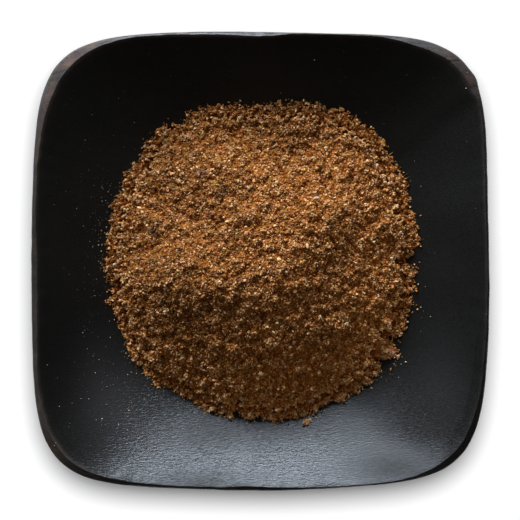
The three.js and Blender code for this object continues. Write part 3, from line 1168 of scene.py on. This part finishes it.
# Bits of husk and seed coat that stand out: x, y, half length, half width (mm), turn, colour.
STRAW, LEAF, BARK = (0.88, 0.62, 0.32), (0.44, 0.27, 0.065), (0.40, 0.16, 0.06)
HUSKS = [
    (15.45, 17.78, 0.98, 0.25, 0.12, STRAW),
    (31.6, 5.4, 0.50, 0.22, 0.5, STRAW),
    (36.6, 1.0, 0.52, 0.20, -0.3, STRAW),
    (3.9, 9.9, 0.55, 0.22, 0.9, STRAW),
    (-4.1, 9.6, 0.48, 0.22, 0.2, STRAW),
    (-6.1, 31.5, 0.50, 0.18, -0.5, STRAW),
    (-37.7, 22.9, 0.45, 0.20, 0.7, STRAW),
    (17.0, 20.7, 0.45, 0.18, -0.2, STRAW),
    (20.6, 17.7, 0.50, 0.18, 0.4, STRAW),
    (23.6, 15.7, 0.45, 0.18, 0.1, STRAW),
    (8.9, -19.2, 0.62, 0.17, -0.85, STRAW),
    (3.6, -19.5, 0.60, 0.17, -0.8, STRAW),
    (-14.1, 11.3, 0.55, 0.28, 0.3, LEAF),
    (-6.9, 11.3, 0.50, 0.26, 0.9, LEAF),
    (-11.9, 21.3, 0.60, 0.30, 0.1, LEAF),
    (36.6, -25.0, 0.55, 0.40, 0.6, BARK),
    (37.3, -24.5, 0.45, 0.30, -0.5, BARK),
]


def husk_piece():
    """Thin curved flakes, each a flattened solid bent along its length."""
    rng = np.random.default_rng(31)
    count = 260
    x, y = scatter(rng, count)
    named = np.array([h[:5] for h in HUSKS])
    colours = np.array([h[5] for h in HUSKS])
    pick = rng.choice(3, count, p=[0.62, 0.2, 0.18])
    half = 0.36 * np.exp(rng.normal(size=count) * 0.3)
    rows = np.stack([x, y, half, half * rng.uniform(0.3, 0.6, count), rng.uniform(0, np.pi, count)], -1)
    rows = np.vstack([named, rows])
    colours = np.vstack([colours, np.array([STRAW, LEAF, BARK])[pick]])
    n = len(rows)
    x, y, long, wide, turn = rows.T
    z, dx, dy = skin_at(x, y)
    z = np.maximum(z, wood_at(x, y) + 0.5)
    normals = np.stack([-dx * 0.4, -dy * 0.4, np.ones(n)], -1) + rng.normal(size=(n, 3)) * 0.12
    # the ones that stand out lean towards the window
    normals[: len(HUSKS)] += np.array([-0.25, 0.75, 0.0])
    normals /= np.linalg.norm(normals, axis=1)[:, None]
    along = np.stack([np.cos(turn), np.sin(turn), np.zeros(n)], -1)
    side = np.cross(normals, along)
    side /= np.linalg.norm(side, axis=1)[:, None]
    along = np.cross(side, normals)
    corners, sides = ICOSAHEDRON
    shape = corners[None] * np.stack([long, wide, np.full(n, 0.07)], -1)[:, None, :]
    shape = shape * (1 + rng.normal(size=(n, 12, 1)) * 0.1)
    # the ends curl down and the flake bows sideways
    reach = shape[..., 0] / long[:, None]
    shape[..., 2] -= 0.22 * long[:, None] * reach**2
    shape[..., 1] += (rng.normal(size=n) * 0.25 * long)[:, None] * reach**2
    shape = np.einsum("nij,nkj->nki", np.stack([along, side, normals], -1), shape)
    lift = np.where(np.arange(n) < len(HUSKS), 0.75, 0.3)
    places = (shape + np.stack([x, y, z + lift], -1)[:, None, :]).reshape(-1, 3)
    faces = (sides[None] + (np.arange(n) * 12)[:, None, None]).reshape(-1, 3)
    shades = np.exp(rng.normal(size=(n, 1)) * 0.15)
    tone = np.repeat(clamp(colours * shades, 0.01, 0.92), 12, 0)
    return mesh_piece("husks", places, faces, colours={"tone": tone})


def fibre_piece():
    """Fine hairs of ground bark: thin, bent, tapering rods, strewn over the heap and round its edge, some at its far
    edge.
    """
    rng = np.random.default_rng(32)
    x, y = scatter(rng, 130)
    t = np.radians(np.r_[rng.uniform(68, 88, 26), rng.uniform(-180, 180, 60)])
    ex, ey = heap_edge(t)
    x = np.r_[x, ex * 0.995 + RIM_CENTRE[0]]
    y = np.r_[y, ey * 0.995 + RIM_CENTRE[1]]
    n = len(x)
    way = np.stack([rng.normal(size=n), rng.normal(size=n), rng.uniform(0.05, 0.7, n)], -1)
    way[130:, 0] = np.cos(t) + rng.normal(size=86) * 0.7
    way[130:, 1] = np.sin(t) + rng.normal(size=86) * 0.7
    way /= np.linalg.norm(way, axis=1)[:, None]
    length = 0.95 * np.exp(rng.normal(size=n) * 0.35)
    thick = rng.uniform(0.045, 0.075, n)
    bend = np.cross(way, rng.normal(size=(n, 3))) * (0.35 * length)[:, None]
    base = np.stack([x, y, np.maximum(skin_at(x, y)[0], wood_at(x, y)) - 0.05], -1)
    side = np.cross(way, np.array([0.3, 0.2, 1.0]))
    side /= np.linalg.norm(side, axis=1)[:, None]
    other = np.cross(way, side)
    rows, faces = [], []
    for k, v in enumerate((0, 0.25, 0.5, 0.75, 1)):
        middle = base + way * (length * v)[:, None] + bend * (v * v)
        for a in range(3):
            w = 2 * np.pi * a / 3
            rows.append(middle + (math.cos(w) * side + math.sin(w) * other) * (thick * (1 - 0.6 * v))[:, None])
        if k:
            for a in range(3):
                b = (a + 1) % 3
                p, q = 3 * (k - 1), 3 * k
                faces += [[p + a, p + b, q + b], [p + a, q + b, q + a]]
    faces += [[0, 2, 1], [12, 13, 14]]
    places = np.stack(rows, 1).reshape(-1, 3)
    faces = (np.array(faces)[None] + (np.arange(n) * 15)[:, None, None]).reshape(-1, 3)
    tone = np.repeat(np.array([[0.62, 0.34, 0.15]]) * np.exp(rng.normal(size=(n, 1)) * 0.25), 15, 0)
    return mesh_piece("fibres", places, faces, colours={"tone": tone})


# Single pale bits on the wood and on the rim: x, y and half size in mm.
SPECKS = [
    (-43.1, 9.5, 0.22),
    (-42.8, 7.9, 0.20),
    (-45.3, 4.5, 0.13),
    (-44.3, 4.5, 0.15),
    (-44.5, 2.8, 0.17),
    (-45.2, 0.0, 0.13),
    (-42.4, 4.9, 0.24),
    (-43.9, -1.8, 0.18),
    (-39.4, 22.0, 0.15),
    (-41.0, 16.6, 0.18),
    (-42.4, 15.2, 0.22),
    (-44.3, 20.6, 0.14),
    (-42.6, 19.4, 0.15),
    (33.9, -32.5, 0.24),
    (33.2, -32.0, 0.15),
    (38.5, -27.3, 0.26),
    (39.4, -28.8, 0.18),
    (32.3, -32.2, 0.14),
    (27.6, -36.9, 0.20),
    (29.2, -41.4, 0.15),
    (14.3, -44.9, 0.26),
    (13.3, -45.5, 0.20),
    (57.4, 52.3, 0.20),
    (59.2, 50.6, 0.17),
    (57.0, 47.9, 0.20),
    (-57.0, -51.1, 0.18),
    (-56.6, -50.3, 0.12),
    (-49.9, -38.3, 0.15),
    (-47.8, -38.4, 0.15),
    (-55.8, -40.3, 0.13),
    (-36.7, -41.7, 0.19),
    (-44.1, -43.9, 0.17),
    (-45.7, -44.2, 0.15),
    (-39.5, -45.6, 0.22),
    (-37.1, -47.0, 0.15),
    (-33.8, -49.4, 0.20),
    (-31.0, -49.9, 0.16),
    (-42.9, -40.0, 0.14),
    (-43.2, -45.6, 0.13),
    (-32.5, -38.6, 0.15),
    (-27.1, -45.6, 0.14),
    (-24.9, -48.0, 0.15),
    (18.3, -61.9, 0.20),
    (-7.6, -62.4, 0.12),
]


def dust_piece():
    """Fine pale dust of the spice on the wood, thickest to the left and below."""
    rng = np.random.default_rng(33)
    spots = [
        (0, 0, 40, 42, 360),
        (-44, 2, 6, 22, 240),
        (-43.5, 10, 1.4, 9, 60),
        (-34, -30, 9, 9, 130),
        (-30, -42, 14, 5, 60),
        (2, -47, 18, 4, 40),
        (30, -38, 10, 7, 50),
    ]
    x = np.concatenate([cx + rng.normal(size=k) * wx for cx, cy, wx, wy, k in spots])
    y = np.concatenate([cy + rng.normal(size=k) * wy for cx, cy, wx, wy, k in spots])
    keep = (share_at(x, y) < 0.97) & (out_share(x, y)[0] > 1.01)
    x, y = x[keep], y[keep]
    near = np.exp(-((out_share(x, y)[0] - 1) / 0.06) ** 2)
    half = clamp(0.060 * np.exp(rng.normal(size=len(x)) * 0.35 + 0.5 * near), 0.03, 0.2)
    specks = np.array(SPECKS).T
    x, y, half = np.r_[x, specks[0]], np.r_[y, specks[1]], np.r_[half, specks[2]]
    z, dx, dy = wood_slopes(x, y)
    # past the hollow's edge the rim's face falls outwards
    t, r = np.arctan2(y - RIM_CENTRE[1], x - RIM_CENTRE[0]), np.hypot(x - RIM_CENTRE[0], y - RIM_CENTRE[1])
    z = z - RIM_FALL * np.maximum(r - hollow_radius(t, 1), 0)
    n = len(x)
    normals = np.stack([-dx, -dy, np.ones(n)], -1)
    normals /= np.linalg.norm(normals, axis=1)[:, None]
    places = np.stack([x, y, z], -1) + normals * (half * 0.5)[:, None]
    tones = np.array([[0.46, 0.36, 0.27]]) * np.exp(rng.normal(size=(n, 1)) * 0.3)
    tones[-len(SPECKS) :] *= 1.35
    stretch = np.array([[1.3, 0.9, 0.7]])
    return grain_piece("dust", rng, [(OCTAHEDRON, places, normals, half[:, None] * stretch, clamp(tones, 0, 0.9))], 0.2)


# ------------------------------------------------------------------ materials
def tree(name):
    material = bpy.data.materials.new(name)
    material.use_nodes = True
    nodes = material.node_tree.nodes
    nodes.clear()
    return material, material.node_tree


def put(nt, kind, **settings):
    """A node, with its settings by name and its unlinked inputs under 'inputs'."""
    node = nt.nodes.new(kind)
    for key, value in settings.pop("inputs", {}).items():
        node.inputs[key].default_value = value
    for key, value in settings.items():
        setattr(node, key, value)
    return node


def link(nt, a, b):
    nt.links.new(a, b)


def noise(nt, vector, scale, detail=3.0, rough=0.55, distortion=0.0):
    node = put(
        nt,
        "ShaderNodeTexNoise",
        inputs={"Scale": scale, "Detail": detail, "Roughness": rough, "Distortion": distortion},
    )
    link(nt, vector, node.inputs["Vector"])
    return node.outputs["Fac"]


def ramp(nt, value, stops):
    node = put(nt, "ShaderNodeValToRGB")
    elements = node.color_ramp.elements
    while len(elements) < len(stops):
        elements.new(0.5)
    for element, (place, colour) in zip(elements, stops):
        element.position = place
        element.color = (*colour, 1) if len(colour) == 3 else colour
    link(nt, value, node.inputs["Fac"])
    return node.outputs["Color"]


def maths(nt, operation, a, b=None, clamped=False):
    node = put(nt, "ShaderNodeMath", operation=operation, use_clamp=clamped)
    for slot, value in enumerate((a, b)):
        if value is None:
            continue
        if isinstance(value, (int, float)):
            node.inputs[slot].default_value = value
        else:
            link(nt, value, node.inputs[slot])
    return node.outputs[0]


def mix(nt, fac, a, b, mode="MIX"):
    node = put(nt, "ShaderNodeMix", data_type="RGBA", blend_type=mode)
    for key, value in (("Factor", fac), ("A", a), ("B", b)):
        socket = [s for s in node.inputs if s.name == key and s.enabled][0]
        if isinstance(value, (int, float)):
            socket.default_value = value
        elif isinstance(value, tuple):
            socket.default_value = (*value, 1)
        else:
            link(nt, value, socket)
    return [s for s in node.outputs if s.enabled][0]


def stretched(nt, scale, turn=(0, 0, 0)):
    """The piece's own coordinates, scaled by axis."""
    at = put(nt, "ShaderNodeTexCoord")
    node = put(nt, "ShaderNodeMapping", inputs={"Scale": scale, "Rotation": turn})
    link(nt, at.outputs["Object"], node.inputs["Vector"])
    return node.outputs["Vector"]


def surface(nt, **sockets):
    """The shader at the end of a tree: its sockets by name, numbers or links."""
    shader = put(nt, "ShaderNodeBsdfPrincipled")
    out = put(nt, "ShaderNodeOutputMaterial")
    link(nt, shader.outputs["BSDF"], out.inputs["Surface"])
    for key, value in sockets.items():
        socket = shader.inputs[key.replace("_", " ")]
        if isinstance(value, (int, float)):
            socket.default_value = value
        elif isinstance(value, tuple):
            socket.default_value = (*value, 1)
        else:
            link(nt, value, socket)
    return shader


def bump(nt, height, distance, strength=1.0, normal=None):
    node = put(nt, "ShaderNodeBump", inputs={"Strength": strength, "Distance": distance})
    link(nt, height, node.inputs["Height"])
    if normal is not None:
        link(nt, normal, node.inputs["Normal"])
    return node.outputs["Normal"]


def wood_material():
    """Black-stained wood with its grain along X, satin inside, rubbed brown on the rim."""
    material, nt = tree("black_stained_wood")
    fibres = noise(nt, stretched(nt, (110, 2100, 2100)), 1.0, 4.0, 0.6)
    pores = noise(nt, stretched(nt, (420, 3000, 3000)), 1.0, 2.0, 0.5)
    broad = noise(nt, stretched(nt, (14, 60, 60)), 1.0, 3.0, 0.5)
    speck = noise(nt, stretched(nt, (1500, 2500, 2500)), 1.0, 2.0, 0.7)
    pore = ramp(nt, pores, [(0.0, (1, 1, 1)), (0.25, (1, 1, 1)), (0.42, (0, 0, 0)), (1.0, (0, 0, 0))])
    worn = put(nt, "ShaderNodeAttribute", attribute_name="worn").outputs["Fac"]
    arris = put(nt, "ShaderNodeAttribute", attribute_name="arris").outputs["Fac"]
    matt = put(nt, "ShaderNodeAttribute", attribute_name="matt").outputs["Fac"]
    dust_and_sheen = put(nt, "ShaderNodeAttribute", attribute_name="dust_and_sheen").outputs["Fac"]
    dull = put(nt, "ShaderNodeAttribute", attribute_name="dull").outputs["Fac"]
    coarse = put(nt, "ShaderNodeAttribute", attribute_name="coarse").outputs["Fac"]
    lines = noise(nt, stretched(nt, (820, 2500, 2500)), 1.0, 2.0, 0.55)
    strokes = noise(nt, stretched(nt, (520, 2300, 2300), (0.0, 0.0, 0.03)), 1.0, 1.0, 0.5)
    pits = ramp(nt, strokes, [(0.0, (1, 1, 1)), (0.38, (1, 1, 1)), (0.46, (0, 0, 0)), (1.0, (0, 0, 0))])
    lines = maths(nt, "SUBTRACT", lines, maths(nt, "MULTIPLY", pits, 0.35))
    tint = put(nt, "ShaderNodeAttribute", attribute_name="tint").outputs["Color"]
    patches = noise(nt, stretched(nt, (170, 330, 330)), 1.0, 3.0, 0.6)
    hues = noise(nt, stretched(nt, (120, 200, 200), (0.3, 0.2, 0.9)), 1.0, 2.0, 0.5)
    cracks = noise(nt, stretched(nt, (90, 1500, 1500)), 1.0, 3.0, 0.6)
    crack = ramp(nt, cracks, [(0.0, (1, 1, 1)), (0.33, (1, 1, 1)), (0.38, (0, 0, 0)), (1.0, (0, 0, 0))])
    stain = mix(nt, broad, (0.0065, 0.0056, 0.0042), (0.0105, 0.0092, 0.0076))
    stain = mix(nt, maths(nt, "MULTIPLY", pore, 0.6), stain, (0.003, 0.0026, 0.0022))
    rubbed = ramp(
        nt,
        hues,
        [
            (0.0, (0.035, 0.034, 0.024)),
            (0.36, (0.05, 0.036, 0.027)),
            (0.46, (0.078, 0.050, 0.037)),
            (0.53, (0.060, 0.042, 0.032)),
            (0.62, (0.100, 0.068, 0.041)),
            (0.75, (0.075, 0.036, 0.029)),
        ],
    )
    rubbed = mix(nt, maths(nt, "MULTIPLY", fibres, 0.55), rubbed, (0.02, 0.016, 0.014))
    brown = mix(nt, 1.0, rubbed, (1.55, 1.3, 1.15), "MULTIPLY")
    rubbed = mix(nt, matt, rubbed, brown)
    rubbed = mix(nt, 1.0, rubbed, tint, "MULTIPLY")
    rubbed = mix(nt, maths(nt, "MULTIPLY", crack, 0.8), rubbed, (0.012, 0.009, 0.007))
    amount = maths(nt, "MULTIPLY", worn, maths(nt, "ADD", maths(nt, "MULTIPLY", patches, 1.5), -0.05, True), True)
    # spice dust, and painted sheen beside the heap, turn the stain paler grey
    colour = mix(nt, maths(nt, "MULTIPLY", dust_and_sheen, 0.9, True), stain, (0.048, 0.043, 0.042))
    colour = mix(nt, amount, colour, rubbed)
    # paler worn arrises, with a painted highlight along the top inner edge
    colour = mix(nt, maths(nt, "MULTIPLY", arris, 0.35, True), colour, (0.12, 0.105, 0.095))
    rough = maths(nt, "ADD", maths(nt, "MULTIPLY", broad, 0.08), 0.055)
    rough = maths(nt, "ADD", rough, maths(nt, "MULTIPLY", speck, 0.32))
    rough = maths(nt, "ADD", rough, maths(nt, "MULTIPLY", pores, 0.16))
    rough = maths(nt, "ADD", rough, maths(nt, "MULTIPLY", worn, 0.10))
    rough = maths(nt, "ADD", rough, dull)
    rough = maths(nt, "ADD", rough, maths(nt, "MULTIPLY", matt, 0.34), True)
    height = maths(nt, "SUBTRACT", maths(nt, "MULTIPLY", fibres, 0.5), maths(nt, "MULTIPLY", pore, 0.5))
    height = maths(nt, "SUBTRACT", height, maths(nt, "MULTIPLY", maths(nt, "MULTIPLY", crack, worn), 5.0))
    normal = bump(nt, maths(nt, "MULTIPLY", lines, coarse), 0.00006, 1.0)
    normal = bump(nt, height, 0.000014, 0.9, normal)
    normal = bump(nt, speck, 0.000024, 0.9, normal)
    surface(nt, Base_Color=colour, Roughness=rough, Normal=normal, Specular_IOR_Level=0.55)
    return material


def grain_material(name, rough=0.85):
    """Ground spice: each grain's colour, with its painted light and shade, mottled."""
    material, nt = tree(name)
    tone = put(nt, "ShaderNodeAttribute", attribute_name="tone").outputs["Color"]
    mottle = noise(nt, stretched(nt, (1, 1, 1)), 5200.0, 2.0, 0.6)
    colour = mix(
        nt, 1.0, tone, ramp(nt, mottle, [(0.25, (0.62, 0.6, 0.58)), (0.75, (1.3, 1.3, 1.3))]), "MULTIPLY"
    )
    normal = bump(nt, mottle, 0.00004, 0.6)
    surface(nt, Base_Color=colour, Roughness=rough, Normal=normal, Specular_IOR_Level=0.12)
    return material


def core_material():
    """Fine powder under and between the grains, its tone painted dark, as painted shade in the gaps."""
    material, nt = tree("fine_spice_powder")
    tone = put(nt, "ShaderNodeAttribute", attribute_name="tone").outputs["Color"]
    fine = noise(nt, stretched(nt, (1, 1, 1)), 2600.0, 3.0, 0.65)
    colour = mix(
        nt,
        1.0,
        tone,
        ramp(nt, fine, [(0.3, (0.55, 0.46, 0.34)), (0.5, (1.0, 1.0, 1.0)), (0.7, (1.4, 1.55, 1.85))]),
        "MULTIPLY",
    )
    normal = bump(nt, fine, 0.00015, 0.8)
    surface(nt, Base_Color=colour, Roughness=0.9, Normal=normal, Specular_IOR_Level=0.08)
    return material


# ------------------------------------------------------------------ build
bowl = bowl_piece()
bowl.data.materials.append(wood_material())
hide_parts("bowl")
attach(bowl, "root")

core = heap_core()
core.data.materials.append(core_material())
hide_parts("garam_masala")
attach(core, "root")

heap_pieces = [core] + heap_grains() + [husk_piece(), fibre_piece(), dust_piece()]
for piece in heap_pieces[1:]:
    piece.data.materials.append(grain_material("spice_" + piece.name))
    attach(piece, "root")

# ------------------------------------------------------------------ floor and light
reach = 2500.0
floor = mesh_piece(
    "floor",
    np.array([[-reach, -reach, 0], [reach, -reach, 0], [reach, reach, 0], [-reach, reach, 0]]),
    np.array([[0, 1, 2, 3]]),
)
floor_material, nt = tree("pale_floor")
surface(
    nt,
    Base_Color=(0.8, 0.8, 0.8),
    Roughness=0.9,
    Specular_IOR_Level=0.0,
    Emission_Color=(1, 1, 1),
    Emission_Strength=0.01,
)
floor.data.materials.append(floor_material)


def area_light(name, place, aim, size, radiance, colour, shape="RECTANGLE"):
    """A soft light whose face has the given radiance, as seen from the object."""
    data = bpy.data.lights.new(name, "AREA")
    data.shape = shape
    data.size = size[0]
    data.size_y = size[1]
    area = size[0] * size[1] * (math.pi / 4 if shape in ("DISK", "ELLIPSE") else 1)
    data.energy = radiance * area * math.pi
    data.color = colour
    lamp = bpy.data.objects.new(name, data)
    lamp.location = place
    lamp.rotation_euler = aim
    lamp.visible_camera = False
    scene.collection.objects.link(lamp)
    return lamp


window = area_light(
    "window", (-0.40, 0.9, 0.410), (-math.pi / 2, 0, 0), (1.06, 0.488), 19.1, (0.77, 0.87, 1.0)
)
above = area_light("above", (0, 0.05, 1.5), (-0.033, 0, 0), (0.7, 0.7), 1.1, (1, 0.98, 0.95), "DISK")
fill = area_light(
    "fill", (0.5, -0.45, 1.4), (0.311, 0.343, 0), (0.7, 0.7), 0.95, (1, 0.98, 0.95), "DISK"
)
overhead = area_light(
    "overhead", (0.0, 0.17, 1.5), (-0.113, 0, 0), (0.58, 0.58), 35.8, (1, 1, 1), "DISK"
)
# The window and the light above shape the object alone, the fill softens the heap's dark
# side, and the overhead light whitens the floor alone.
not_floor = bpy.data.collections.new("lit_by_window")
only_floor = bpy.data.collections.new("lit_by_overhead")
not_floor.objects.link(floor)
only_floor.objects.link(floor)
not_floor.collection_objects[0].light_linking.link_state = "EXCLUDE"
window.light_linking.receiver_collection = not_floor
above.light_linking.receiver_collection = not_floor
overhead.light_linking.receiver_collection = only_floor
only_heap = bpy.data.collections.new("lit_by_fill")
for piece in heap_pieces:
    only_heap.objects.link(piece)
fill.light_linking.receiver_collection = only_heap

world = bpy.data.worlds.new("studio")
scene.world = world
world.use_nodes = True
wt = world.node_tree
wt.nodes.clear()
dim = put(wt, "ShaderNodeBackground", inputs={"Color": (0.85, 0.92, 1.0, 1), "Strength": 0.025})
pale = put(wt, "ShaderNodeBackground", inputs={"Color": (0.95, 0.95, 0.95, 1), "Strength": 1.0})
path = put(wt, "ShaderNodeLightPath")
either = put(wt, "ShaderNodeMixShader")
out = put(wt, "ShaderNodeOutputWorld")
link(wt, path.outputs["Is Camera Ray"], either.inputs[0])
link(wt, dim.outputs[0], either.inputs[1])
link(wt, pale.outputs[0], either.inputs[2])
link(wt, either.outputs[0], out.inputs["Surface"])

scene.view_settings.view_transform = "Standard"
scene.view_settings.look = "None"
